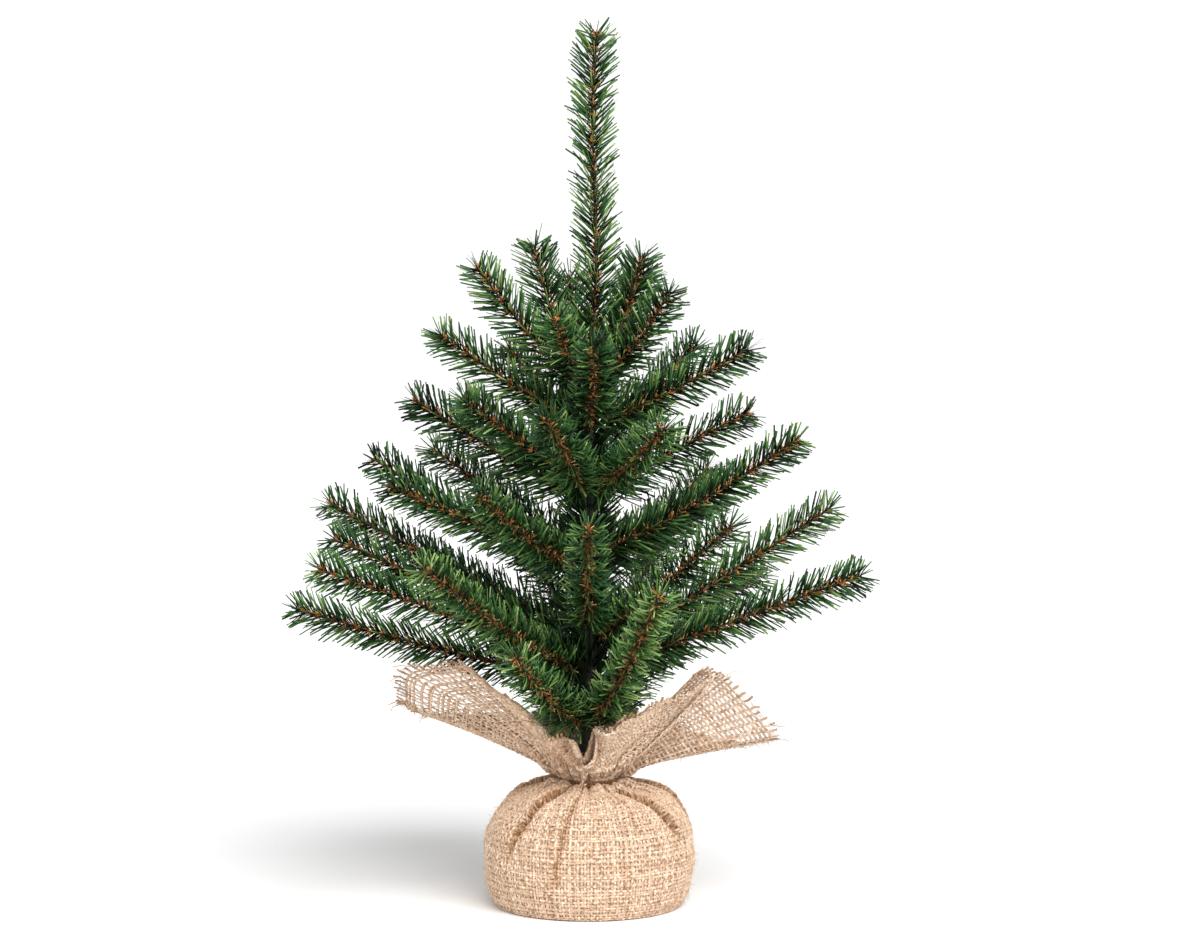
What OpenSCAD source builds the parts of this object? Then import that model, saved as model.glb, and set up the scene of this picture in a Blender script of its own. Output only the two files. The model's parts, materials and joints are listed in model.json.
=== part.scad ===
// Artificial tabletop tree: a weighted pot wrapped in burlap, a taped trunk,
// a leader, and bottle-brush branches that each bend at their root.
// Millimetres. +Z is up, the base stands on z = 0, and the front faces -Y.
// An azimuth is counted from +X towards +Y, an elevation up from level.

/* [View] */

/* [Trunk] */
// Top of the taped trunk above the table
trunk_top = 362; // [350:1:370]
// Outer radius of the tape where it leaves the burlap
tape_bottom_r = 6.6; // [5.8:0.1:7.2]
// Outer radius of the tape at the top
tape_top_r = 4.4; // [4.2:0.1:4.8]
// Radius of the steel rod inside the trunk
rod_r = 2; // [1.6:0.1:2.2]

/* [Branches] */
// Radius of the twisted wire in a branch
wire_r = 1; // [0.8:0.05:1.1]
// Largest radius of a branch's brush of needles
brush_r = 12; // [9:0.5:12]
// Distance between two whorls of needles along a wire
whorl_pitch = 9; // [7:0.5:12]
// Thickness of one whorl, measured along the wire
whorl_thickness = 0.6; // [0.5:0.1:0.9]

/* [Leader] */
// Length of the leader's wire
leader_length = 226; // [200:1:240]
// Largest radius of the leader's brush
leader_brush_r = 16; // [12:0.5:16]
// How far the leader leans towards +X, in degrees
leader_lean = 1.3; // [0:0.1:2]

/* [Base] */
// Height of the plastic pot inside the burlap
pot_height = 70; // [60:1:72]
// Outer radius of the pot at its rim
pot_rim_r = 53; // [48:0.5:53]
// Height of the cement above the pot's floor
cement_height = 46; // [30:1:60]

/* [Burlap] */
// Thickness of the cloth
cloth = 1.4; // [1.2:0.1:1.6]
// Largest radius of the wrapped base
bag_r = 71; // [70:0.5:73]
// Height of the tied neck above the table
neck_z = 83; // [82:0.5:85]
// Outer radius of the gathered cloth at the neck
neck_r = 19; // [18:0.5:20]

/* [Hidden] */
$fn = 48;

// Branches, a tier at a time from the lowest. One row is a branch:
// [height of its root, azimuth, elevation, length of its wire]
TIERS = [
    ["bottom", [
        [122, 245, 29, 118], [124, 289, 37, 162],
        [124, 52, 25, 145], [120, 120, 27, 145]
    ]],
    ["lower", [
        [184, 157, 24, 208], [174, 175, 24, 182], [154, 190, 15, 196],
        [164, 207, 21, 200], [157, 230, 28, 174], [190, 270, 28, 162],
        [180, 307, 31, 166], [160, 340, 21, 194], [172, 2, 32, 184],
        [162, 34, 22, 150], [176, 66, 26, 180], [163, 88, 24, 180],
        [178, 110, 26, 180], [166, 134, 22, 175]
    ]],
    ["middle", [
        [238, 143, 28, 147], [228, 166, 27, 162], [235, 192, 22, 138],
        [227, 236, 26, 132], [240, 350, 30, 155], [232, 18, 30, 115],
        [226, 48, 29, 136], [236, 90, 28, 140]
    ]],
    ["upper", [
        [280, 180, 30, 127], [286, 213, 33, 106], [280, 256, 26, 120],
        [285, 294, 21, 120], [279, 12, 28, 118], [286, 62, 32, 114],
        [280, 106, 30, 117], [285, 150, 32, 110]
    ]],
    ["high", [
        [327, 190, 33, 112], [322, 272, 37, 98], [327, 341, 26, 116],
        [318, 36, 36, 106], [324, 84, 36, 98], [320, 130, 36, 98]
    ]],
    ["crown", [
        [350, 198, 49, 108], [356, 156, 70, 98], [350, 358, 72, 94],
        [355, 318, 43, 88], [354, 246, 42, 64], [354, 48, 56, 92],
        [350, 104, 58, 92]
    ]]
];

// Hem of the burlap collar every 15 degrees of azimuth from 0: [radius, height]
HEM = [
    [129, 117], [120, 106], [92, 108], [68, 116], [62, 128], [80, 140],
    [98, 142], [88, 134], [72, 124], [72, 124], [100, 122], [124, 126],
    [130, 140], [128, 166], [102, 170], [86, 154], [62, 131], [46, 118],
    [38, 116], [48, 129], [62, 137], [77, 150], [90, 166], [104, 152]
];
hem_step = 15;

BRANCHES = [
    for (tier = TIERS)
        for (i = [0 : len(tier[1]) - 1])
            [str(tier[0], "_branch_", i + 1), tier[1][i]]
];

clearance = 0.1;
base_gap = 0.4;

pot_wall = 2;
pot_foot_r = pot_rim_r - 3;
pot_z = cloth + base_gap;
cement_z = pot_z + pot_wall + clearance;
cement_top = cement_z + cement_height;

rod_foot_z = cement_z + 8;
rod_top = trunk_top - 4;
tape_bore_r = 3.6;
tape_foot_z = neck_z - 6;
wire_end_r = 0.55;
wire_ends = 10;
wire_ring_r = rod_r + wire_end_r + 0.15;
wire_ends_z = neck_z + 12;

root_gap = 2;
brush_start = 10;
brush_base_r = 1.3;
brush_growth = 0.105;
hub_r = wire_r + 0.6;
needle_angle = 50;
whorl_lean = 1 / tan(needle_angle);

leader_wire_r = 1.4;
leader_root_z = trunk_top + leader_wire_r + 0.8;
leader_base_r = 3;

tie_r = 1.2;
tie_turns = 2;
knot_r = 2.6;
tie_z = neck_z + 1.2;

collar_foot_z = neck_z + 6;
collar_r = neck_r - 1;
collar_rise = 1.5;
collar_rows = 8;
collar_columns = 48;
collar_curve = 0.8;

// Radius of the taped trunk at a height
function trunk_r(z) =
    tape_bottom_r + (tape_top_r - tape_bottom_r) * (z - tape_foot_z) / (trunk_top - tape_foot_z);

// Radius of a brush at a distance from the wire's root
function brush_radius(s, base, limit) = min(limit, base + brush_growth * s);

// Half outline [radius, distance] of a hub with one thin leaning blade per whorl.
// A blade's outer edge lies further along the wire than its root, as needles do.
function brush_outline(bore, hub, length, base, limit) =
    let (count = floor((length - brush_start - 2) / whorl_pitch))
    concat(
        [[bore, brush_start]],
        [for (k = [0 : count - 1])
            let (
                s = brush_start + k * whorl_pitch + 1,
                edge = brush_radius(s + whorl_lean * limit / 2, base, limit),
                reach = whorl_lean * (edge - hub)
            )
            each [
                [hub, s],
                [edge, s + reach],
                [edge, s + reach + whorl_thickness],
                [hub, s + whorl_thickness]
            ]],
        [[hub, length], [bore, length]]
    );

// One wire along +Z from its round root, and the needles twisted into it
module bottle_brush(length, core_r, hub, base, limit) {
    color([0.35, 0.27, 0.18]) {
        sphere(r = core_r);
        cylinder(h = length + 1, r = core_r);
    }
    color([0.13, 0.36, 0.2])
        rotate_extrude()
            polygon(brush_outline(core_r + clearance, hub, length, base, limit));
}

module branch(row) {
    height = row[0];
    out = trunk_r(height) + root_gap;
    rotate([0, 0, row[1]])
        translate([out, 0, height])
            rotate([0, 90 - row[2], 0])
                bottle_brush(row[3], wire_r, hub_r, brush_base_r, brush_r);
}

module leader() {
    translate([0, 0, leader_root_z])
        rotate([0, leader_lean, 0])
            bottle_brush(leader_length, leader_wire_r, leader_wire_r + 0.6, leader_base_r, leader_brush_r);
}

module base_pot() {
    color([0.18, 0.18, 0.19])
        rotate_extrude()
            polygon([
                [0, pot_z],
                [pot_foot_r, pot_z],
                [pot_rim_r, pot_z + pot_height],
                [pot_rim_r - pot_wall, pot_z + pot_height],
                [pot_foot_r - pot_wall, pot_z + pot_wall],
                [0, pot_z + pot_wall]
            ]);
}

// Radius of the pot's inner wall at a height
function pot_inner_r(z) =
    pot_foot_r - pot_wall + (pot_rim_r - pot_foot_r) * (z - pot_z - pot_wall) / (pot_height - pot_wall);

module cement_fill() {
    color([0.62, 0.61, 0.58])
        rotate_extrude()
            polygon([
                [0, cement_z],
                [pot_inner_r(cement_z) - 2 * clearance, cement_z],
                [pot_inner_r(cement_top) - 2 * clearance, cement_top],
                [rod_r + clearance, cement_top],
                [rod_r + clearance, rod_foot_z - clearance],
                [0, rod_foot_z - clearance]
            ]);
}

module trunk_rod() {
    color([0.55, 0.56, 0.58])
        translate([0, 0, rod_foot_z])
            cylinder(h = rod_top - rod_foot_z, r = rod_r);
}

// Ends of the branch wires, laid along the rod under the tape
module root_wires() {
    color([0.4, 0.42, 0.4])
        for (i = [0 : wire_ends - 1])
            rotate([0, 0, i * 360 / wire_ends])
                translate([wire_ring_r, 0, wire_ends_z])
                    cylinder(h = rod_top - wire_ends_z, r = wire_end_r);
}

module trunk_tape() {
    color([0.16, 0.14, 0.1])
        rotate_extrude()
            polygon([
                [tape_bore_r, tape_foot_z],
                [tape_bottom_r, tape_foot_z],
                [tape_top_r, trunk_top - 1.5],
                [tape_top_r - 1.2, trunk_top],
                [0, trunk_top],
                [0, trunk_top - 2],
                [tape_bore_r, trunk_top - 2]
            ]);
}

// Outline of the wrapped base from its flat foot up to the neck: [radius, height]
BAG = [
    [bag_r - 13, 0], [bag_r - 7, 3], [bag_r - 2.5, 12], [bag_r, 28],
    [bag_r, 40], [bag_r - 2, 53], [bag_r - 8, 65], [bag_r - 17, neck_z - 8.5],
    [bag_r - 30, neck_z - 3.8], [neck_r + 6, neck_z - 2], [neck_r, neck_z - 0.5]
];

// The bag is a shell that thickens to a bunch of folds at the tied neck
module burlap_bag() {
    inner = [for (i = [len(BAG) - 2 : -1 : 1]) [BAG[i][0] - cloth * 1.2, BAG[i][1] - cloth * 0.6]];
    rotate_extrude()
        polygon(concat(
            [[0, 0]],
            BAG,
            [[neck_r, collar_foot_z], [neck_r - 8, collar_foot_z], [neck_r - 8, neck_z - 3]],
            inner,
            [[BAG[0][0] - 1, cloth], [0, cloth]]
        ));
}

// Hem radius and height at any azimuth, straight between the listed points
function hem(azimuth) =
    let (
        step = azimuth / hem_step,
        low = floor(step),
        part = step - low,
        from = HEM[low % len(HEM)],
        to = HEM[(low + 1) % len(HEM)]
    )
    from + part * (to - from);

// A point of the collar's outer face. Row 0 is sunk in the neck, row 1 stands
// straight above it, and from there the cloth flares out to the hem, the last row.
function collar_rz(azimuth, row) =
    let (
        edge = hem(azimuth),
        t = (row - 1) / (collar_rows - 1),
        start = [collar_r, collar_foot_z + collar_rise]
    )
    row == 0 ? [collar_r, collar_foot_z - collar_rise] :
    [
        start[0] + (edge[0] - start[0]) * t,
        start[1] + (edge[1] - start[1]) * pow(t, collar_curve)
    ];

// The same point moved through the cloth to the inner face
function collar_inner_rz(azimuth, row) =
    let (
        here = collar_rz(azimuth, row),
        back = here - collar_rz(azimuth, row - 1),
        slope = atan2(back[1], back[0])
    )
    row == 0 ? here - [cloth, 0] :
    row == 1 ? here + cloth * [-1, 0.7] :
    here + cloth * [-sin(slope), cos(slope)];

function around(azimuth, rz) = [rz[0] * cos(azimuth), rz[0] * sin(azimuth), rz[1]];

module burlap_collar() {
    columns = collar_columns;
    layer = columns * (collar_rows + 1);
    outer = [
        for (j = [0 : collar_rows])
            for (i = [0 : columns - 1])
                let (azimuth = i * 360 / columns)
                around(azimuth, collar_rz(azimuth, j))
    ];
    inner = [
        for (j = [0 : collar_rows])
            for (i = [0 : columns - 1])
                let (azimuth = i * 360 / columns)
                around(azimuth, collar_inner_rz(azimuth, j))
    ];
    skin = [
        for (j = [0 : collar_rows - 1])
            for (i = [0 : columns - 1])
                let (
                    a = j * columns + i,
                    b = j * columns + (i + 1) % columns,
                    c = b + columns,
                    d = a + columns
                )
                each [
                    [a, c, b], [a, d, c],
                    [a + layer, b + layer, c + layer], [a + layer, c + layer, d + layer]
                ]
    ];
    rims = [
        for (i = [0 : columns - 1])
            let (
                a = i,
                b = (i + 1) % columns,
                top = collar_rows * columns
            )
            each [
                [a, b, b + layer], [a, b + layer, a + layer],
                [top + b, top + a, top + a + layer], [top + b, top + a + layer, top + b + layer]
            ]
    ];
    polyhedron(points = concat(outer, inner), faces = concat(skin, rims));
}

module burlap_wrap() {
    color([0.8, 0.65, 0.44]) {
        burlap_bag();
        burlap_collar();
    }
}

// Twine wound round the neck, with its knot at the front
module neck_tie() {
    ring_r = neck_r + tie_r + 0.2;
    color([0.45, 0.32, 0.2]) {
        for (turn = [0 : tie_turns - 1])
            translate([0, 0, tie_z + turn * 2 * tie_r])
                rotate_extrude()
                    translate([ring_r, 0])
                        circle(r = tie_r - 0.02, $fn = 24);
        translate([0, -ring_r - tie_r - knot_r, tie_z + tie_r])
            sphere(r = knot_r);
    }
}

burlap_wrap();
neck_tie();
base_pot();
cement_fill();
trunk_rod();
root_wires();
trunk_tape();
leader();
for (item = BRANCHES)
    branch(item[1]);
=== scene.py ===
import json
import math

import bpy
import numpy as np
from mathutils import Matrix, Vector


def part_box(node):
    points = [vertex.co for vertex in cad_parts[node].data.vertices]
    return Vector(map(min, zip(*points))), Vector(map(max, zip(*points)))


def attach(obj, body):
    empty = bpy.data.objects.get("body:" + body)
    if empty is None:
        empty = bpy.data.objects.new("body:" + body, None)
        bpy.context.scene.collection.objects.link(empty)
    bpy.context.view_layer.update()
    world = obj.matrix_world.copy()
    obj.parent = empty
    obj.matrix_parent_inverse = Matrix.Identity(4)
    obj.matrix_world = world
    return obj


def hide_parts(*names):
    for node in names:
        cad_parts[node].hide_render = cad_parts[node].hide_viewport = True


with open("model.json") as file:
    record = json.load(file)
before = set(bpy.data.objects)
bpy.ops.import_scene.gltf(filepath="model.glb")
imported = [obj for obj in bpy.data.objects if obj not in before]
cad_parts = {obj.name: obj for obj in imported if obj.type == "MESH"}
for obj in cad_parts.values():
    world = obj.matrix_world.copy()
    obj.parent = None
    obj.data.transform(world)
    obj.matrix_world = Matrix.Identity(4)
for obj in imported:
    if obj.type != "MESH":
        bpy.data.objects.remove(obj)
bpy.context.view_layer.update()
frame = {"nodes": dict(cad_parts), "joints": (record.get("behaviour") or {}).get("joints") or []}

MM = 0.001
UP = np.array([0.0, 0.0, 1.0])
rng = np.random.default_rng(7)


# ---------------------------------------------------------------- small tools


def unit(v):
    """Vectors along the last axis, each scaled to length 1."""
    return v / np.maximum(np.linalg.norm(v, axis=-1, keepdims=True), 1e-12)


def turn(v, axis, angle):
    """v turned about a unit axis by an angle in radians."""
    c, s = np.cos(angle)[..., None], np.sin(angle)[..., None]
    return v * c + np.cross(axis, v) * s + axis * (axis * v).sum(-1, keepdims=True) * (1 - c)


def smooth(x, low_end, high_end):
    """0 below low_end, 1 above high_end, and an even rise between them."""
    t = np.clip((x - low_end) / (high_end - low_end), 0, 1)
    return t * t * (3 - 2 * t)


def new_mesh(name, parts, materials):
    """One mesh object from parts, each (vertices, quads, tint of each vertex, material number).

    Materials read the tint, a number from 0 to 1, as a place on their colour ramp."""
    mesh = bpy.data.meshes.new(name)
    counts = np.cumsum([0] + [len(p[0]) for p in parts])
    verts = np.concatenate([p[0] for p in parts])
    quads = np.concatenate([p[1] + start for p, start in zip(parts, counts)])
    tint = np.concatenate([p[2] for p in parts])
    slots = np.concatenate([np.full(len(p[1]), p[3]) for p in parts])
    mesh.vertices.add(len(verts))
    mesh.vertices.foreach_set("co", verts.astype(np.float32).ravel())
    mesh.loops.add(quads.size)
    mesh.loops.foreach_set("vertex_index", quads.astype(np.int32).ravel())
    mesh.polygons.add(len(quads))
    mesh.polygons.foreach_set("loop_start", np.arange(0, quads.size, 4, dtype=np.int32))
    mesh.polygons.foreach_set("material_index", slots.astype(np.int32))
    mesh.update(calc_edges=True)
    mesh.attributes.new("tint", "FLOAT", "POINT").data.foreach_set("value", tint.astype(np.float32))
    for material in materials:
        mesh.materials.append(material)
    piece = bpy.data.objects.new(name, mesh)
    bpy.context.scene.collection.objects.link(piece)
    return piece


CORNERS = 4  # of a tube's cross section


def tubes(paths, across, thick, tint):
    """Closed tubes along paths, an array (tubes, points, 3).

    The cross section is a diamond: across and thick are (direction, half width) of its diagonals."""
    n, m = paths.shape[:2]
    angles = np.arange(CORNERS) * 2 * np.pi / CORNERS
    ring = (
        across[0][:, :, None] * (np.cos(angles)[:, None] * across[1][:, :, None, None])
        + thick[0][:, :, None] * (np.sin(angles)[:, None] * thick[1][:, :, None, None])
    )
    verts = paths[:, :, None] + ring
    here = np.arange(CORNERS)
    after = (here + 1) % CORNERS
    tube_start = np.arange(n)[:, None] * m * CORNERS
    low_ring = tube_start[:, :, None] + np.arange(m - 1)[:, None] * CORNERS
    high_ring = low_ring + CORNERS
    side = np.stack([low_ring + here, low_ring + after, high_ring + after, high_ring + here], -1)
    first_cap = tube_start + here[::-1]
    last_cap = tube_start + (m - 1) * CORNERS + here
    quads = np.concatenate([side.reshape(-1, 4), first_cap, last_cap])
    tints = np.broadcast_to(np.reshape(tint, (n, -1, 1)), (n, m, CORNERS))
    return verts.reshape(-1, 3), quads, tints.reshape(-1)


def cord(path, facing, half, tint):
    """One tube of even thickness along a path, with one diagonal square to the facing direction."""
    path = path[None]
    ahead = unit(np.gradient(path, axis=1))
    across = unit(np.cross(facing, ahead))
    size = np.full(path.shape[:2], half)
    return tubes(path, (across, size), (np.cross(ahead, across), size), tint)


def sheet_quads(rows, columns, closed):
    """Quads of a grid of rows by columns points; closed joins the last column to the first."""
    i = np.arange(rows - 1)[:, None]
    j = np.arange(columns if closed else columns - 1)[None]
    after = (j + 1) % columns
    return np.stack(
        [i * columns + j, i * columns + after, (i + 1) * columns + after, (i + 1) * columns + j], -1
    ).reshape(-1, 4)


# ---------------------------------------------------------------- materials


def material(name, stops, roughness, flecks=0.0, fleck_size=0.0, specular=0.5, sheen=0.0):
    """A procedural material: the tint picks a colour between the stops, and noise shades it.

    flecks is how much the noise shades, as a share, and fleck_size how far apart it varies."""
    m = bpy.data.materials.new(name)
    m.use_nodes = True
    nodes, links = m.node_tree.nodes, m.node_tree.links
    shader = nodes["Principled BSDF"]
    shader.inputs["Roughness"].default_value = roughness
    shader.inputs["Specular IOR Level"].default_value = specular
    shader.inputs["Sheen Weight"].default_value = sheen
    tint = nodes.new("ShaderNodeAttribute")
    tint.attribute_name = "tint"
    ramp = nodes.new("ShaderNodeValToRGB")
    ramp.color_ramp.elements[0].position = 0.0
    ramp.color_ramp.elements[0].color = (*stops[0], 1)
    ramp.color_ramp.elements[1].position = 1.0
    ramp.color_ramp.elements[1].color = (*stops[-1], 1)
    for k in range(1, len(stops) - 1):
        stop = ramp.color_ramp.elements.new(k / (len(stops) - 1))
        stop.color = (*stops[k], 1)
    links.new(tint.outputs["Fac"], ramp.inputs["Fac"])
    colour = ramp.outputs["Color"]
    if flecks:
        place = nodes.new("ShaderNodeTexCoord")
        noise = nodes.new("ShaderNodeTexNoise")
        noise.inputs["Scale"].default_value = 1 / fleck_size
        noise.inputs["Detail"].default_value = 3
        links.new(place.outputs["Object"], noise.inputs["Vector"])
        level = nodes.new("ShaderNodeMapRange")
        level.inputs["From Min"].default_value = 0.3
        level.inputs["From Max"].default_value = 0.7
        level.inputs["To Min"].default_value = 1 - flecks
        level.inputs["To Max"].default_value = 1 + flecks
        links.new(noise.outputs["Fac"], level.inputs["Value"])
        shade = nodes.new("ShaderNodeVectorMath")
        shade.operation = "SCALE"
        links.new(colour, shade.inputs[0])
        links.new(level.outputs["Result"], shade.inputs["Scale"])
        colour = shade.outputs["Vector"]
    links.new(colour, shader.inputs["Base Color"])
    return m


NEEDLE = material(
    "needle_green",
    [(0.002, 0.008, 0.001), (0.014, 0.052, 0.009), (0.036, 0.120, 0.036),
     (0.130, 0.245, 0.048), (0.290, 0.420, 0.145)],
    roughness=0.42, flecks=0.35, fleck_size=0.010, specular=0.22,
)
FIBRE = material(
    "brown_fibre", [(0.14, 0.042, 0.008), (0.66, 0.25, 0.05), (0.95, 0.58, 0.26)], roughness=0.7
)
WIRE = material("core_wire", [(0.012, 0.014, 0.007), (0.07, 0.045, 0.018)], roughness=0.45)
TAPE = material("stem_tape", [(0.006, 0.009, 0.004), (0.02, 0.024, 0.01)], roughness=0.6,
                flecks=0.3, fleck_size=0.004)
BURLAP = material(
    "burlap_jute", [(0.33, 0.17, 0.075), (0.66, 0.47, 0.33), (0.88, 0.75, 0.61)],
    roughness=0.9, flecks=0.30, fleck_size=0.0022, specular=0.12, sheen=0.1,
)
LINING = material("burlap_under_layer", [(0.42, 0.26, 0.14), (0.60, 0.41, 0.27)], roughness=0.95,
                  flecks=0.35, fleck_size=0.0016, specular=0.1)
TWINE = material("neck_twine", [(0.12, 0.055, 0.022), (0.26, 0.13, 0.055)], roughness=0.85,
                 flecks=0.2, fleck_size=0.002, specular=0.2)
PALE = material("pale_thread", [(0.75, 0.73, 0.70), (0.85, 0.84, 0.82)], roughness=0.7)


# ---------------------------------------------------------------- branches

NEEDLE_LENGTH = 19.5 * MM
NEEDLE_WIDTH = 1.35 * MM
NEEDLE_THICK = 0.30 * MM
NEEDLES_PER_M = 3000
NEEDLE_PITCH = 7.4 * MM  # along the core, for one turn of the twist
NEEDLE_LEAN = 52  # degrees from the core
TIP_ZONE = 13 * MM  # where needles get shorter and spread towards the tip
STRAY_SHARE = 0.03
STRIP = 2.2 * MM  # needles this close together share a shade
FIBRE_THICK = 0.25 * MM
FIBRES_PER_M = 3600
TUFT_PITCH = 9 * MM
LOOSE_SHARE = 0.3  # of the fibres, which lie between the tufts
BARE_ROOT = 5 * MM
ROOT_SHADE_TO_TIP_LIGHT = np.array([-0.55, -0.08, 0.10])  # tint along a needle, against its own shade: painted shade at the root, deep in the branch, and a little painted light at the tip
WIRE_PITCH = 6 * MM
WIRE_STEP = 1.6 * MM
WIRE_BACK = 4 * MM  # how far the wires run on behind the root, into the trunk
WIRE_R = 0.5 * MM
LEADER_WIRE_R = 0.7 * MM


def corners_of(node):
    """All the corners of a CAD node."""
    return np.array([v.co for v in frame["nodes"][node].data.vertices])


def far_end(node, root):
    """The end of a branch's wire: the middle of the node's corners that are furthest from its root."""
    corners = corners_of(node)
    distance = np.linalg.norm(corners - root, axis=1)
    return corners[distance > distance.max() - 0.3 * MM].mean(axis=0)


class Core:
    """The line of a branch's twisted wire: straight along the CAD wire, but for a bow and a sway.

    A branch sways to one side. With any bends but 1, the sway is that many whole waves, which fade
    towards the tip."""

    def __init__(self, root, end, bow=0.0, sway=0.0, bends=1.0):
        self.root = root
        self.length = float(np.linalg.norm(end - root))
        self.along = (end - root) / self.length
        side = np.cross(UP, self.along)
        upright = np.linalg.norm(side) < 0.1
        self.side = np.array([1.0, 0.0, 0.0]) if upright else unit(side)
        self.over = np.cross(self.along, self.side)
        self.bow = bow
        self.sway = sway
        self.bends = bends

    def point(self, s):
        """Points at distances s from the root."""
        t = np.clip(s / self.length, 0, 1)
        over = -self.bow * np.sin(np.pi * t)
        if self.bends == 1.0:
            sway = self.sway * np.sin(np.pi * t) * t
        else:
            sway = self.sway * np.sin(2 * np.pi * t * self.bends) * (1 - t * t)
        return (
            self.root
            + s[:, None] * self.along
            + over[:, None] * self.over
            + sway[:, None] * self.side
        )

    def tangent(self, s):
        """The way the wire runs at distances s from the root."""
        return unit(self.point(s + 0.5 * MM) - self.point(s - 0.5 * MM))


def blades(core, s, angle, lean, length, width, thick, curl, twist, tint):
    """Flat strips that stand out of the core at distances s, each closed, with three cross sections.

    angle is round the core, lean away from it, and twist about the strip's own length."""
    start = core.point(s)
    ahead = core.tangent(s)
    out = np.broadcast_to(core.side, ahead.shape)
    out = unit(out - ahead * (out * ahead).sum(1, keepdims=True))
    out = turn(out, ahead, angle)
    across = np.cross(ahead, out)
    c, k = np.cos(lean)[:, None], np.sin(lean)[:, None]
    way = c * ahead + k * out
    flat = -k * ahead + c * out
    wide = np.cos(twist)[:, None] * flat + np.sin(twist)[:, None] * across
    face = np.cross(way, wide)
    q = np.array([0.02, 0.5, 1.0])
    taper = np.array([0.75, 1.0, 0.78])
    path = (
        start[:, None]
        + way[:, None] * (length[:, None] * q)[:, :, None]
        + flat[:, None] * (length[:, None] * curl[:, None] * q**2)[:, :, None]
    )
    n = len(s)
    half = np.broadcast_to(width[:, None] / 2 * taper, (n, 3))
    deep = np.broadcast_to(thick / 2 * np.array([1.0, 1.0, 0.6]), (n, 3))
    wide = np.broadcast_to(wide[:, None], (n, 3, 3))
    face = np.broadcast_to(face[:, None], (n, 3, 3))
    return tubes(path, (wide, half), (face, deep), tint)


def needles(core, full, shade=0.5):
    """The green needles of one branch, twisted round the core in opposite pairs.

    full is the length of a needle, and shade their middle tint."""
    usable = core.length - BARE_ROOT
    count = int(usable * NEEDLES_PER_M)
    s = BARE_ROOT + usable * (np.arange(count) + rng.random(count)) / count
    angle = np.pi * np.arange(count) + 2 * np.pi * s / NEEDLE_PITCH + rng.normal(0, 0.4, count)
    angle += rng.random() * 6
    near_tip = 1 - np.clip((core.length - s) / TIP_ZONE, 0, 1)
    lean = np.radians(rng.normal(NEEDLE_LEAN, 4.5, count) + near_tip * rng.uniform(-22, 24, count))
    bushy = 1 + 0.38 * np.exp(-s / (50 * MM))
    length = full * bushy * rng.normal(1.0, 0.05, count) * (1 - 0.32 * near_tip)
    stray = rng.random(count) < STRAY_SHARE
    length[stray] *= rng.uniform(0.5, 1.15, stray.sum())
    lean[stray] += rng.normal(0, 0.3, stray.sum())
    width = NEEDLE_WIDTH * rng.uniform(0.7, 1.12, count)
    curl = rng.normal(-0.03, 0.05, count)
    twist = rng.normal(0, 0.5, count)
    strip = np.floor(s / STRIP).astype(int)
    kinds = rng.normal(shade, 0.18, strip.max() + 1)
    tint = kinds[strip] + rng.normal(0, 0.18, count)
    # each needle's root is tinted darker as painted shade, and its tip a little lighter as painted light
    tint = np.clip(tint[:, None] + ROOT_SHADE_TO_TIP_LIGHT, 0, 1)
    return blades(core, s, angle, lean, length, width, NEEDLE_THICK, curl, twist, tint)


def fibres(core):
    """Short brown fibres that show in tufts along the core."""
    count = int(core.length * FIBRES_PER_M)
    s = TUFT_PITCH * rng.integers(1, max(2, int(core.length / TUFT_PITCH) + 1), count)
    loose = rng.random(count) < LOOSE_SHARE
    spread = np.where(loose, 3.0, 0.9) * MM
    s = np.clip(s + rng.normal(0, spread, count), 4 * MM, core.length)
    angle = rng.random(count) * 2 * np.pi
    lean = np.radians(rng.uniform(25, 85, count))
    length = rng.uniform(2.5, 6.5, count) * MM
    width = rng.uniform(0.4, 0.75, count) * MM
    curl = rng.normal(0, 0.2, count)
    twist = rng.normal(0, 0.8, count)
    tint = rng.random(count) * np.where(loose, 0.4, 1)
    return blades(core, s, angle, lean, length, width, FIBRE_THICK, curl, twist, tint)


def twisted_wire(core, strand):
    """Two wires of radius strand twisted together, from a little behind the root to the end."""
    s = np.arange(-WIRE_BACK, core.length + 1 * MM, WIRE_STEP)
    middle = core.root + s[:, None] * core.along
    inside = s > 0
    middle[inside] = core.point(s[inside])
    ahead = unit(np.gradient(middle, axis=0))
    out = unit(np.broadcast_to(core.side, ahead.shape) - ahead * (ahead @ core.side)[:, None])
    paths = []
    wide = []
    for phase in (0.0, np.pi):
        way = turn(out, ahead, 2 * np.pi * s / WIRE_PITCH + phase)
        paths.append(middle + way * strand)
        wide.append(way)
    paths = np.array(paths)
    wide = np.array(wide)
    deep = np.cross(np.broadcast_to(ahead, wide.shape), wide)
    size = np.full(paths.shape[:2], strand)
    return tubes(paths, (wide, size), (deep, size), rng.random((2, 1)))


def build_branch(node, body, core, full, strand, shade=0.5):
    """A branch's needles and fibres as one piece and its two wires as another, on the branch's body."""
    brush = new_mesh(
        node + "_needles", [(*needles(core, full, shade), 0), (*fibres(core), 1)], [NEEDLE, FIBRE]
    )
    wire = new_mesh(node + "_wire", [(*twisted_wire(core, strand), 0)], [WIRE])
    for piece in (brush, wire):
        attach(piece, body)
        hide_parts(node)


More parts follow.
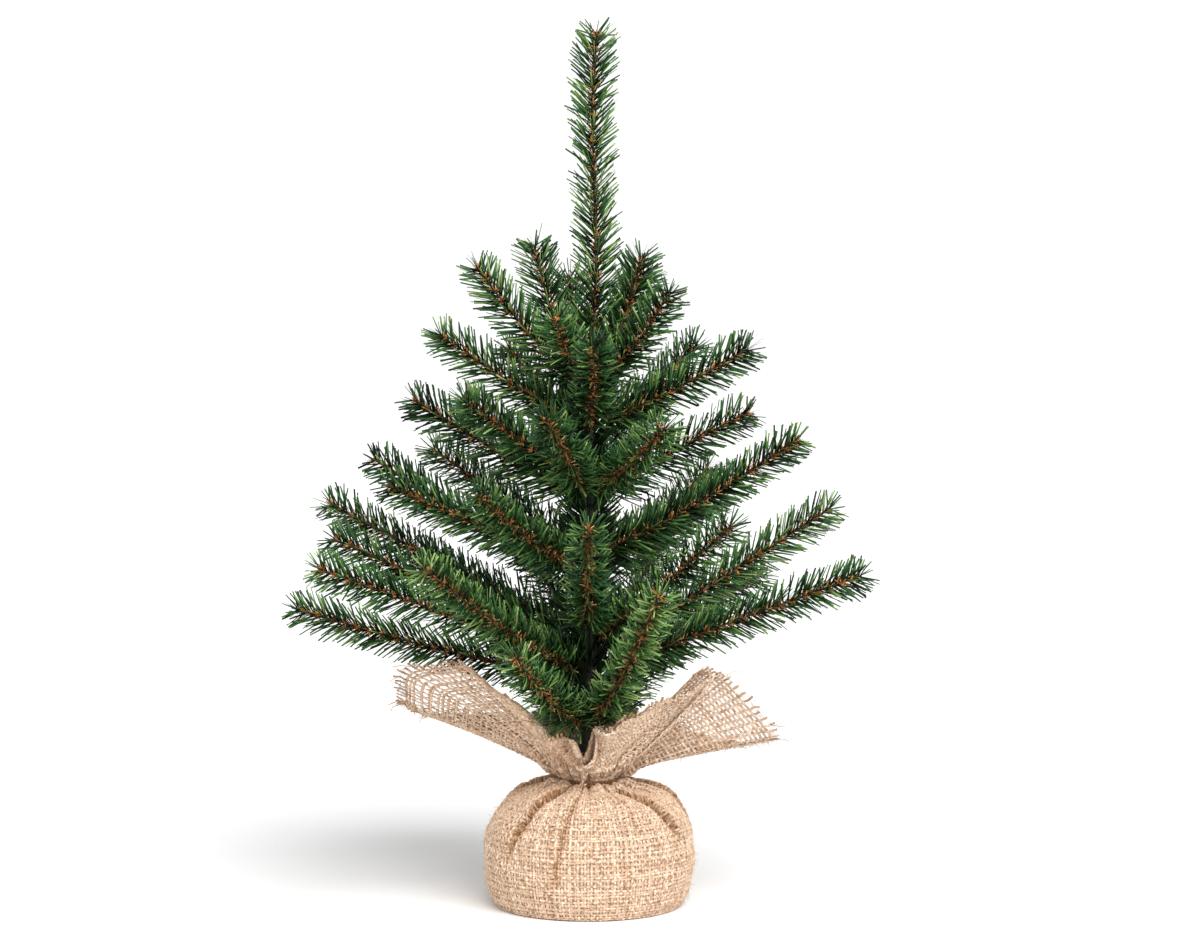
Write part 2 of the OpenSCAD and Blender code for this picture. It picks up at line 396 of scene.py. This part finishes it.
for joint in frame["joints"]:
    node = joint["name"].removesuffix("_bend")
    root = np.array(joint["pos_m"])
    end = far_end(node, root)
    if node == "leader":
        leader_core = Core(root, end, sway=4 * MM, bends=0.8)
        build_branch(node, joint["child"], leader_core, 1.04 * NEEDLE_LENGTH, LEADER_WIRE_R)
        continue
    core = Core(root, end, rng.uniform(-1.5, 5) * MM, rng.normal(0, 2.2) * MM)
    full = NEEDLE_LENGTH * rng.uniform(0.94, 1.04)
    shade = rng.uniform(0.32, 0.54)
    # painted light: the bottom branches' needles are tinted lighter, standing in for the sheen of light on
    # their needle ends
    if node.startswith("bottom"):
        shade += 0.14
    build_branch(node, joint["child"], core, full, WIRE_R, shade)


# ---------------------------------------------------------------- trunk


def tape_wrap():
    """Tape wound up the trunk in overlapping turns, over the bumps of the wires under it."""
    foot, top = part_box("trunk_tape")
    wide_r = (top.x - foot.x) / 2
    narrow_r = wide_r * 0.67
    rows = 320
    columns = 40
    turn_height = 9 * MM
    step_depth = 0.35 * MM
    bump_depth = 0.25 * MM
    z = np.linspace(foot.z, top.z, rows)[:, None]
    a = np.linspace(0, 2 * np.pi, columns, endpoint=False)[None]
    t = (z - foot.z) / (top.z - foot.z)
    lap = (z / turn_height + a / (2 * np.pi)) % 1
    bumps = np.cos(5 * a + z * 90)
    r = wide_r + (narrow_r - wide_r) * t + step_depth * (1 - lap) + bump_depth * bumps
    r = r * (1 - 0.45 * smooth(t, 0.985, 1.0))
    verts = np.stack([r * np.cos(a), r * np.sin(a), z + 0 * a], -1).reshape(-1, 3)
    tint = np.broadcast_to(lap, (rows, columns)).reshape(-1)
    piece = new_mesh("tape_wrap", [(verts, sheet_quads(rows, columns, True), tint, 0)], [TAPE])
    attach(piece, "tree_base")
    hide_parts("trunk_tape")


tape_wrap()


def trunk_fringe():
    """Two layers of dark needles on the tape, which close the gaps between the branches. Their near-black
    tint is painted shade for the inside of the tree.
    """
    foot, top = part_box("trunk_tape")
    above_collar = 34 * MM
    start = np.array([0.0, 0.0, foot.z + above_collar])
    core = Core(start, np.array([0.0, 0.0, top.z]))
    # the low tint of 0.08 makes these needles nearly black: painted shade for the inside of the tree
    layers = [(*needles(core, length, shade=0.08), 0) for length in (25 * MM, 31 * MM)]
    piece = new_mesh("trunk_fringe", layers, [NEEDLE])
    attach(piece, "tree_base")
    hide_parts("trunk_tape")


trunk_fringe()


# ---------------------------------------------------------------- burlap
# A place on the cloth is a, its azimuth, and w, which runs up the cloth: 0 at the edge of the foot,
# 1 at the neck and 2 at the hem.

tie_low, tie_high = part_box("neck_tie")
NECK_Z = tie_low.z
NECK_R = tie_high.x - 2.6 * MM
COLLAR_Z = tie_high.z + 0.2 * MM
CLOTH_CORNERS = corners_of("burlap_wrap")
BAG_R = np.hypot(*CLOTH_CORNERS[CLOTH_CORNERS[:, 2] < NECK_Z / 2, :2].T).max()
FOOT_R = BAG_R - 13 * MM

# the side of the wrapped base, from its foot to the neck: (share of its radius, share of its height)
BAG_SHAPE = np.array([
    (0.817, 0.000), (0.872, 0.008), (0.905, 0.036), (0.965, 0.145), (1.000, 0.337), (1.000, 0.482),
    (0.972, 0.639), (0.887, 0.783), (0.761, 0.898), (0.577, 0.955), (0.372, 0.979),
])
HEM_COLUMNS = 48  # azimuths at which the CAD collar has corners


def read_hem():
    """Radius and height of the CAD collar's hem, at even azimuths."""
    radius = np.hypot(CLOTH_CORNERS[:, 0], CLOTH_CORNERS[:, 1])
    azimuth = np.arctan2(CLOTH_CORNERS[:, 1], CLOTH_CORNERS[:, 0])
    above = CLOTH_CORNERS[:, 2] > COLLAR_Z + 4 * MM
    hem = []
    for k in range(HEM_COLUMNS):
        a = 2 * np.pi * k / HEM_COLUMNS
        off = np.abs((azimuth - a + np.pi) % (2 * np.pi) - np.pi)
        here = np.where(above & (off < 0.02))[0]
        outermost = here[radius[here].argmax()]
        hem.append((radius[outermost], CLOTH_CORNERS[outermost, 2]))
    return np.array(hem)


HEM = read_hem()


def between(p0, p1, p2, p3, f):
    """The smooth curve from p1 to p2, at shares f of the way, with p0 before them and p3 after."""
    return 0.5 * (
        2 * p1 + (p2 - p0) * f
        + (2 * p0 - 5 * p1 + 4 * p2 - p3) * f**2
        + (3 * p1 - p0 - 3 * p2 + p3) * f**3
    )


def hem_at(a):
    """The hem's radius and height at azimuths in radians, on a smooth closed curve."""
    x = (a / (2 * np.pi) * HEM_COLUMNS) % HEM_COLUMNS
    k = np.floor(x).astype(int)
    near = [HEM[(k + j) % HEM_COLUMNS] for j in (-1, 0, 1, 2)]
    curve = between(*near, (x - k)[..., None])
    return curve[..., 0], curve[..., 1]


def outline():
    """The bag's side as a smooth curve, with its length from the foot."""
    shape = np.vstack([BAG_SHAPE * (BAG_R, NECK_Z), (NECK_R, NECK_Z + 1 * MM), (NECK_R, COLLAR_Z)])
    pad = np.vstack([shape[:1] - (4 * MM, 0), shape, shape[-1:] + (0, 3 * MM)])
    f = np.linspace(0, 1, 12, endpoint=False)[:, None]
    fine = [between(*pad[i : i + 4], f) for i in range(len(shape) - 1)]
    fine = np.vstack(fine + [shape[-1:]])
    length = np.concatenate([[0], np.cumsum(np.linalg.norm(np.diff(fine, axis=0), axis=1))])
    return fine, length


SIDE, SIDE_LENGTH = outline()
BAG_LENGTH = SIDE_LENGTH[-1]


def away(a, degrees):
    """How far azimuths in radians lie from a direction, in degrees, from -180 to 180."""
    return (np.degrees(a) - degrees + 180) % 360 - 180


# pleats down the bag: (azimuth at the top and at the low end in degrees, w at the top and at the low
# end, height in mm, and the side that lies on top: 1 for the smaller azimuths, -1 for the larger)
PLEATS = (
    (238, 219, 0.95, 0.32, 4.6, 1), (262, 248, 0.93, 0.16, 2.2, 1), (264, 257, 0.99, 0.80, 3.2, 1),
    (310, 336, 0.86, 0.40, 4.8, -1), (290, 300, 0.96, 0.45, 1.5, 1), (20, 10, 0.93, 0.40, 3.5, -1),
    (60, 68, 0.90, 0.45, 3.5, 1), (105, 100, 0.95, 0.30, 2.5, -1), (148, 158, 0.93, 0.42, 4.0, 1),
    (188, 182, 0.92, 0.50, 3.0, -1),
)
FRONT = 262  # azimuth in degrees of the middle of the collar's front
SHORT_STEP = 0.004  # in azimuth or in w, to find the cloth's slope


def plain_cloth(a, w):
    """Radius and height of the cloth without folds."""
    on_bag = np.clip(w, 0, 1) * BAG_LENGTH
    bag_r = np.interp(on_bag, SIDE_LENGTH, SIDE[:, 0])
    bag_z = np.interp(on_bag, SIDE_LENGTH, SIDE[:, 1])
    hem_r, hem_z = hem_at(a)
    t = np.clip(w - 1, 0, 1.2)
    collar_r = NECK_R + (hem_r - NECK_R) * t
    collar_z = COLLAR_Z + (hem_z - COLLAR_Z) * t**0.8
    return np.where(w > 1, collar_r, bag_r), np.where(w > 1, collar_z, bag_z)


def pleats(a, w):
    """How far the bag's pleats stand out, how far their edges lean over the cloth behind them in
    radians, and how dark that cloth is, 0 to 1."""
    push = 0 * w
    lean = 0 * w
    shadow = 0 * w
    for top_a, low_a, top_w, low_w, height, side in PLEATS:
        f = np.clip((w - low_w) / (top_w - low_w), 0, 1)
        d = away(a, low_a + (top_a - low_a) * f) * side
        drop = 0.5 * (1 + np.tanh(d / 0.5))
        shape = (1 - drop) * np.exp(np.minimum(d, 0) / 7) - 0.9 * drop * np.exp(-np.maximum(d, 0) / 3)
        fade = smooth(w, low_w, low_w + 0.15) * (1 - smooth(w, top_w - 0.02, top_w + 0.03))
        push = push + height * MM * shape * fade
        lean = lean + 0.5 * height * side * fade * (1 - drop) * np.exp(np.minimum(d, 0) / 4)
        shadow = shadow + fade * height / 5 * np.exp(-(((d - 1.5) / 2.2) ** 2))
    return push, np.radians(lean), shadow


def neck_folds(a, w):
    """How far the small gathers at the neck stand out, and the puffs of cloth below and above the tie."""
    t = np.maximum(w - 1, 0)
    gathers = np.cos(19 * a + 1.3 * np.sin(3 * a)) + 0.7 * np.cos(31 * a + 2.0) + 0.5 * np.cos(11 * a + 0.6)
    below = smooth(w, 0.66, 0.92) - 0.5 * smooth(w, 0.95, 1.0)
    above = 0.5 + 0.5 * smooth(t, 0, 0.05) - smooth(t, 0.08, 0.60)
    puff = np.exp(-(((w - 0.91) / 0.035) ** 2)) + 1.3 * np.exp(-(((w - 1.075) / 0.05) ** 2))
    return 1.15 * MM * gathers * np.where(w < 1, below, above) + 1.6 * MM * puff * (1 + 0.25 * gathers)


def bag_shape(a, w, z):
    """How far the bag's left side slumps inwards and its lumps stand out."""
    slump = smooth(w, 0.42, 0.62) * (1 - smooth(w, 0.64, 0.90)) * (0.5 - 0.5 * np.cos(a - 0.15))
    lumps = np.sin(3 * a + 1.0) + 0.8 * np.sin(5 * a + 260 * z) + 0.6 * np.sin(8 * a - 3.0)
    on_side = smooth(w, 0.05, 0.3) * (1 - smooth(w, 0.85, 1.0))
    return -1.8 * MM * slump + 0.6 * MM * lumps * on_side


def collar_folds(a, w):
    """How far the collar waves in and out, with deeper ruffles at the front."""
    t = np.maximum(w - 1, 0)
    front = np.exp(-((away(a, FRONT) / 24) ** 4))
    ruffle = 8.5 * np.sin(19 * a + 2.0 * np.sin(2 * a) + 1.5 * t) * smooth(t, 0.15, 0.85)
    flare = 6.0 * smooth(t, 0.70, 1.0)
    wave = 1.9 * np.sin(6 * a + 0.7) + 1.2 * np.sin(11 * a + 2.6) + 0.7 * np.sin(23 * a)
    return (front * (ruffle + flare) + wave * smooth(t, 0.25, 1.0)) * MM


def surface(a, w):
    """A point of the cloth with its folds."""
    a, w = np.broadcast_arrays(a, w)
    r, z = plain_cloth(a, w)
    r1, z1 = plain_cloth(a, w - SHORT_STEP)
    r2, z2 = plain_cloth(a, w + SHORT_STEP)
    run = np.maximum(np.hypot(r2 - r1, z2 - z1), 1e-9)
    pleat, lean, _ = pleats(a, w)
    push = neck_folds(a, w) + bag_shape(a, w, z) + pleat + collar_folds(a, w)
    r = r + (z2 - z1) / run * push
    z = z + (r1 - r2) / run * push
    return np.stack([r * np.cos(a + lean), r * np.sin(a + lean), np.maximum(z, 0.1 * MM)], -1)


def normal(a, w):
    """The way out of the cloth: outwards from the bag, and down from the collar."""
    along_a = surface(a + SHORT_STEP, w) - surface(a - SHORT_STEP, w)
    along_w = surface(a, w + SHORT_STEP) - surface(a, w - SHORT_STEP)
    return unit(np.cross(along_a, along_w))


THREAD = 0.95 * MM  # half the width of a jute thread
THREAD_DEEP = 0.52 * MM  # half its thickness
LIFT = 0.42 * MM  # how far it goes over and under the threads it crosses
WARPS = 200
BAG_ROWS = 54
COLLAR_ROWS = 33
PLEAT_SHADOW = 0.8  # how much darker the cloth is beside a pleat, as tint


def thread(paths, out, width, tint):
    """Jute threads along paths, flattened against the cloth, each swelling and thinning a little.

    out is the way out of the cloth at each point. A thread never goes below the table."""
    n, m = paths.shape[:2]
    paths = np.concatenate([paths[..., :2], np.maximum(paths[..., 2:], THREAD_DEEP + 0.1 * MM)], -1)
    width = np.broadcast_to(width, (n, m))
    ahead = unit(np.gradient(paths, axis=1))
    across = unit(np.cross(out, ahead))
    swell = rng.normal(1, 0.13, (n, m))
    swell = (swell + np.roll(swell, 1, 1) + np.roll(swell, 2, 1)) / 3
    return tubes(
        paths, (across, width * swell), (np.cross(ahead, across), THREAD_DEEP * swell), tint
    )


def wandering(count, step):
    """A line of small offsets that drifts at random and comes back to where it began."""
    drift = np.cumsum(rng.normal(0, step, count))
    return drift - np.linspace(drift[0], drift[-1], count)


def uneven(middle, count):
    """The tints along one thread, which vary round its own middle tint."""
    return rng.normal(middle, 0.06) + rng.normal(0, 0.17, (1, count))


def warp_thread(k, rows):
    """Warp thread number k, from the foot to a frayed end past the hem, over and under the rows."""
    a0 = 2 * np.pi * k / WARPS
    fray = rng.uniform(0.0, 3.5) * MM
    hem_r, hem_z = hem_at(np.array([a0]))
    reach = fray / max(0.02, math.hypot(hem_r[0] - NECK_R, hem_z[0] - COLLAR_Z))
    levels = np.concatenate([[0.0], rows, [2.0 + min(reach, 0.09)]])
    w = np.empty(2 * len(levels) - 1)
    w[0::2] = levels
    w[1::2] = (levels[1:] + levels[:-1]) / 2
    sign = np.zeros(len(w))
    sign[2:-1:2] = np.where((np.arange(len(rows)) + k) % 2, 1.0, -1.0)
    a = a0 + wandering(len(w), 0.0012) + rng.normal(0, 0.0008)
    out = normal(a, w)
    path = surface(a, w) + out * (sign * LIFT)[:, None]
    path[-1] += rng.normal(0, 0.8, 3) * MM
    tint = uneven(0.52, len(w)) - 0.3 * smooth(w, 1.9, 2.0) - PLEAT_SHADOW * pleats(a, w)[2]
    width = THREAD * (1 + 0.12 * smooth(w, 1.2, 1.7))
    return thread(path[None], out[None], width, np.clip(tint, 0, 1))


def weft_thread(j, w0):
    """Weft thread number j, once round the cloth at the height w0, under and over the warps."""
    steps = WARPS * 2
    a = 2 * np.pi * np.arange(steps) / steps
    w = w0 + wandering(steps, 0.0006)
    sign = np.zeros(steps)
    sign[0::2] = np.where((np.arange(WARPS) + j) % 2, -1.0, 1.0)
    out = normal(a, w)
    path = surface(a, w) + out * (sign * LIFT)[:, None]
    path = np.vstack([path, path[:1]])
    out = np.vstack([out, out[:1]])
    tint = uneven(0.5, steps + 1) - 0.3 * smooth(w0, 1.93, 2.0)
    tint[:, :-1] -= PLEAT_SHADOW * pleats(a, w)[2]
    width = THREAD * (1 - 0.05 * smooth(w0, 1.2, 1.7))
    return thread(path[None], out[None], width, np.clip(tint, 0, 1))


def weave():
    """Warp threads up the cloth and weft threads round it, over and under each other."""
    w_bag = (np.arange(BAG_ROWS) + 0.5) / BAG_ROWS
    w_collar = 1 + (np.arange(COLLAR_ROWS) + 0.6) / (COLLAR_ROWS + 1.2)
    rows = np.concatenate([w_bag, w_collar])
    warps = [(*warp_thread(k, rows), 0) for k in range(WARPS)]
    wefts = [(*weft_thread(j, w0), 0) for j, w0 in enumerate(rows)]
    return warps + wefts


def under_side():
    """The cloth's flat underside: a plain square weave inside the foot."""
    parts = []
    pitch = 3.2 * MM
    lines = np.arange(-FOOT_R + pitch, FOOT_R - pitch / 2, pitch)
    for crosswise in (False, True):
        for k, u in enumerate(lines):
            half = math.sqrt(max(FOOT_R**2 - u * u, 0)) - 0.5 * MM
            v = np.arange(-half, half, pitch)
            z = 0.62 * MM + np.where((np.arange(len(v)) + k + crosswise) % 2, 1, -1) * 0.12 * MM
            path = np.stack([np.full(len(v), u), v, z], -1)
            if crosswise:
                path = path[:, [1, 0, 2]]
            out = np.tile(-UP, (len(v), 1))
            parts.append((*thread(path[None], out[None], THREAD, np.full((1, 1), 0.5)), 0))
    return parts


def lining():
    """The gathered layers under the outer weave, a thin closed skin from the foot to the neck."""
    columns = 240
    a = 2 * np.pi * np.arange(columns)[None] / columns
    w = np.linspace(0.0, 1.16, 70)[:, None]
    skin = surface(a, w)
    out = normal(a + 0 * w, w + 0 * a)
    outer = skin - out * 0.45 * MM
    inner = skin - out * 0.8 * MM
    verts = np.concatenate([outer.reshape(-1, 3), inner.reshape(-1, 3)])
    layer = len(w) * columns
    faces = sheet_quads(len(w), columns, True)
    j = np.arange(columns)
    after = (j + 1) % columns
    last = (len(w) - 1) * columns
    foot = np.stack([after, j, j + layer, after + layer], -1)
    top = np.stack([last + j, last + after, last + after + layer, last + j + layer], -1)
    quads = np.concatenate([faces, faces[:, ::-1] + layer, foot, top])
    return [(verts, quads, rng.random(len(verts)), 1)]


FOLD_FIRST = math.radians(265)
FOLD_LAST = math.radians(331)


def fold_lift(a, w):
    """How far the folded corner stands off the collar: most along its far edge and at its near tip."""
    edge = smooth(a, FOLD_LAST - 0.30, FOLD_LAST)
    curl = edge * np.sin(np.pi * np.clip((w - 1.05) / 1.15, 0, 1))
    corner = np.exp(-(((a - FOLD_FIRST) / 0.16) ** 2)) * smooth(w, 1.45, 2.0)
    return (1.9 + 13 * curl + 6 * corner + 1.2 * np.sin(9 * a) * np.sin(7 * w)) * MM


def folded_thread(a, w, sign, tint, loose_end=False):
    """One thread of the folded corner, with its last points pulled about where it is a loose end."""
    out = normal(a, w)
    path = surface(a, w) + out * (fold_lift(a, w) + sign * LIFT)[:, None]
    if loose_end:
        path[-3:] += rng.normal(0, 0.5 * MM, (3, 3))
    tint = np.clip(rng.normal(tint, 0.07) + rng.normal(0, 0.17, (1, len(path))), 0, 1)
    return thread(path[None], out[None], THREAD, tint)


def folded_front():
    """The corner of the cloth folded over the front right of the collar, with a raised, frayed edge."""
    parts = []
    count = 62
    rows = 30
    for k, a0 in enumerate(np.linspace(FOLD_FIRST, FOLD_LAST, count)):
        w = np.linspace(1.10, 2.0 + rng.uniform(0, 0.035), rows * 2)
        a = a0 + np.cumsum(rng.normal(0, 0.0012, len(w)))
        sign = np.where((np.arange(len(w)) // 2 + k) % 2, 1.0, -1.0)
        parts.append((*folded_thread(a, w, sign, 0.6), 0))
    for j, w0 in enumerate(np.linspace(1.12, 1.985, rows)):
        a = np.linspace(FOLD_FIRST, FOLD_LAST + rng.uniform(0.015, 0.06), count * 2)
        w = w0 + np.cumsum(rng.normal(0, 0.0008, len(a)))
        sign = np.where((np.arange(len(a)) // 2 + j) % 2, -1.0, 1.0)
        parts.append((*folded_thread(a, w, sign, 0.58, loose_end=True), 0))
    return parts


def strands(starts, ways, lengths, radius, droop, wobble, points=7):
    """Loose fibres: from each start they run its way, droop and wander.

    droop and wobble are shares of the length."""
    n = len(starts)
    q = np.linspace(0, 1, points)
    path = starts[:, None] + ways[:, None] * (lengths[:, None] * q)[:, :, None]
    path = path - UP * (droop * lengths[:, None] * q**2)[:, :, None]
    drift = np.cumsum(rng.normal(0, 1, (n, points, 3)), axis=1) * wobble
    drift[:, 0] = 0
    path = path + drift * lengths[:, None, None]
    path[..., 2] = np.maximum(path[..., 2], 0.3 * MM)  # a fibre lies on the table, not through it
    ahead = unit(np.gradient(path, axis=1))
    across = unit(np.cross(ahead, rng.normal(0, 1, (n, 1, 3))))
    size = np.broadcast_to(radius * (1 - 0.4 * q), (n, points))
    return tubes(path, (across, size), (np.cross(ahead, across), size), rng.random((n, 1)) * 0.8)


def fuzz():
    """Fine hairs that stand off the jute, a third of them along the hem, frayed ends and a few long
    loose threads."""
    hair_count = 9000
    a = rng.random(hair_count) * 2 * np.pi
    w = rng.uniform(0.02, 2.0, hair_count)
    at_hem = hair_count // 3
    w[:at_hem] = 2.0 - np.abs(rng.normal(0, 0.03, at_hem))
    start = surface(a, w)
    out = normal(a, w)
    way = unit(out + rng.normal(0, 1.0, (hair_count, 3)))
    hair_length = rng.uniform(1.5, 4.5, hair_count) * MM
    hairs = strands(start, way, hair_length, 0.09 * MM, 0.15, 0.10, points=3)

    end_count = 70
    a = rng.random(end_count) * 2 * np.pi
    start = surface(a, np.full(end_count, 1.99))
    way = unit(start * (1, 1, 0) + rng.normal(0, 0.03, (end_count, 3)))
    ends = strands(start, way, rng.uniform(4, 10, end_count) * MM, 0.36 * MM, 0.3, 0.08)

    a = np.radians([199.0, 356.0, 341.0, 330.0])
    w = np.array([2.0, 2.0, 2.0, 1.30])
    start = surface(a, w)
    way = unit(np.array([(-0.9, -0.2, 0.35), (0.9, 0.1, 0.1), (0.8, -0.3, 0.5), (0.05, -0.2, -1.0)]))
    loose = strands(start, way, np.array([14, 11, 12, 17]) * MM, 0.34 * MM, 0.1, 0.07)
    return [(*hairs, 0), (*ends, 0), (*loose, 0)]


cloth = new_mesh(
    "burlap_cloth", weave() + under_side() + lining() + folded_front() + fuzz(), [BURLAP, LINING]
)
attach(cloth, "tree_base")
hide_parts("burlap_wrap")


TWINE_R = NECK_R + 1.6 * MM
TWINE_Z = (tie_low.z + tie_high.z) / 2
PLY_R = 0.5 * MM  # how far a ply's line is from the twine's
TO_FRONT = np.array([0.0, -1.0, 0.2])


def twine_ply(turn_number, phase):
    """One ply of one turn of twine round the neck."""
    a = np.linspace(0, 2 * np.pi, 360)
    spin = 46 * a + phase
    r = TWINE_R + PLY_R * np.cos(spin) + 0.35 * MM * np.sin(7 * a)
    z = TWINE_Z + turn_number * 0.8 * MM + 0.35 * MM * np.sin(2 * a + turn_number)
    path = np.stack([r * np.cos(a), r * np.sin(a), z + PLY_R * np.sin(spin)], -1)
    return cord(path, unit(path * (1, 1, 0)), 0.55 * MM, rng.random((1, 1)))


def knot_loop(phase):
    """One of the two loops that make the small knot at the front."""
    q = np.linspace(0, 1, 60)
    spin = 2 * np.pi * 1.6 * q + phase
    bend = 2 * np.pi * q
    x = 2.1 * MM * np.cos(spin)
    y = -TWINE_R - 1.6 * MM - 1.0 * MM * np.sin(bend) ** 2
    z = TWINE_Z + 1.9 * MM * np.sin(spin) * np.cos(bend / 2)
    return cord(np.stack([x, y, z], -1), TO_FRONT, 0.9 * MM, rng.random((1, 1)))


def pale_end():
    """The short pale thread end beside the knot."""
    end = np.array([[-1.5, 0.4, 0.2], [-2.6, -0.6, -0.2], [-3.6, -0.9, -1.2]]) * MM
    path = end + (0, -TWINE_R - 2.6 * MM, TWINE_Z)
    return cord(path, TO_FRONT, 0.85 * MM, np.ones((1, 1)))


def neck_twine():
    """Two turns of two-ply twine round the neck, with a small knot at the front."""
    plies = [(*twine_ply(turn_number, phase), 0) for turn_number in (-1, 1) for phase in (0, np.pi)]
    knot = [(*knot_loop(phase), 0) for phase in (0, np.pi)]
    piece = new_mesh("neck_twine", plies + knot + [(*pale_end(), 1)], [TWINE, PALE])
    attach(piece, "tree_base")
    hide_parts("neck_tie")


neck_twine()


# ---------------------------------------------------------------- hidden hard pieces


def plain(name, colour, roughness, metallic=0.0, grain=0.002, depth=0.2):
    """A material for a hard inner piece, with noise in its colour."""
    m = bpy.data.materials.new(name)
    m.use_nodes = True
    nodes, links = m.node_tree.nodes, m.node_tree.links
    shader = nodes["Principled BSDF"]
    shader.inputs["Roughness"].default_value = roughness
    shader.inputs["Metallic"].default_value = metallic
    noise = nodes.new("ShaderNodeTexNoise")
    noise.inputs["Scale"].default_value = 1 / grain
    place = nodes.new("ShaderNodeTexCoord")
    links.new(place.outputs["Object"], noise.inputs["Vector"])
    mix = nodes.new("ShaderNodeMix")
    mix.data_type = "RGBA"
    mix.inputs["A"].default_value = (*[c * (1 - depth) for c in colour], 1)
    mix.inputs["B"].default_value = (*[min(1, c * (1 + depth)) for c in colour], 1)
    links.new(noise.outputs["Fac"], mix.inputs["Factor"])
    links.new(mix.outputs["Result"], shader.inputs["Base Color"])
    return m


for node, look in (
    ("base_pot", plain("pot_plastic", (0.03, 0.03, 0.032), 0.5)),
    ("cement_fill", plain("cement_grey", (0.36, 0.35, 0.33), 0.9, grain=0.004, depth=0.3)),
    ("trunk_rod", plain("rod_steel", (0.45, 0.45, 0.46), 0.35, metallic=1.0)),
    ("root_wires", plain("wire_green", (0.03, 0.08, 0.04), 0.5)),
):
    mesh = frame["nodes"][node].data
    mesh.materials.clear()
    mesh.materials.append(look)


# ---------------------------------------------------------------- stage, light and camera


def stage_floor():
    """A large pale matt floor at the height of the table."""
    bpy.ops.mesh.primitive_plane_add(size=30, location=(0, 0, 0))
    floor = bpy.context.object
    floor.name = "floor"
    m = bpy.data.materials.new("floor_white")
    m.use_nodes = True
    shader = m.node_tree.nodes["Principled BSDF"]
    shader.inputs["Base Color"].default_value = (0.93, 0.93, 0.93, 1)
    shader.inputs["Roughness"].default_value = 0.9
    shader.inputs["Specular IOR Level"].default_value = 0.1
    floor.data.materials.append(m)


def soft_sun(name, place, strength, angle):
    """A broad, even light that shines from a place towards the origin."""
    data = bpy.data.lights.new(name, "SUN")
    data.energy = strength
    data.angle = math.radians(angle)
    lamp = bpy.data.objects.new(name, data)
    lamp.rotation_euler = (-Vector(place)).to_track_quat("-Z", "Y").to_euler()
    bpy.context.scene.collection.objects.link(lamp)


def white_studio():
    """An even white surround: soft as light, and white where the camera sees it."""
    world = bpy.data.worlds.new("studio")
    world.use_nodes = True
    nodes, links = world.node_tree.nodes, world.node_tree.links
    backdrop = nodes["Background"]
    backdrop.inputs["Color"].default_value = (1, 1, 1, 1)
    seen = nodes.new("ShaderNodeLightPath")
    level = nodes.new("ShaderNodeMapRange")
    level.inputs["To Min"].default_value = 0.45
    level.inputs["To Max"].default_value = 1.1
    links.new(seen.outputs["Is Camera Ray"], level.inputs["Value"])
    links.new(level.outputs["Result"], backdrop.inputs["Strength"])
    bpy.context.scene.world = world
    bpy.context.scene.view_settings.view_transform = "Standard"


def look_at(place, aim, lens):
    """The camera at a place, aimed at a point, with a lens in millimetres."""
    data = bpy.data.cameras.new("camera")
    data.lens = lens
    data.sensor_width = 36
    data.clip_end = 50
    camera = bpy.data.objects.new("camera", data)
    camera.location = place
    camera.rotation_euler = (Vector(aim) - Vector(place)).to_track_quat("-Z", "Y").to_euler()
    bpy.context.scene.collection.objects.link(camera)
    bpy.context.scene.camera = camera


stage_floor()
soft_sun("key", (0.8, -1.6, 1.75), 3.4, 45)
soft_sun("fill", (-1.4, -1.5, 1.0), 1.0, 80)
white_studio()
look_at(place=(0.0014, -1.9, 0.385), aim=(0.0014, 0, 0.295), lens=85.4)

bpy.context.view_layer.update()
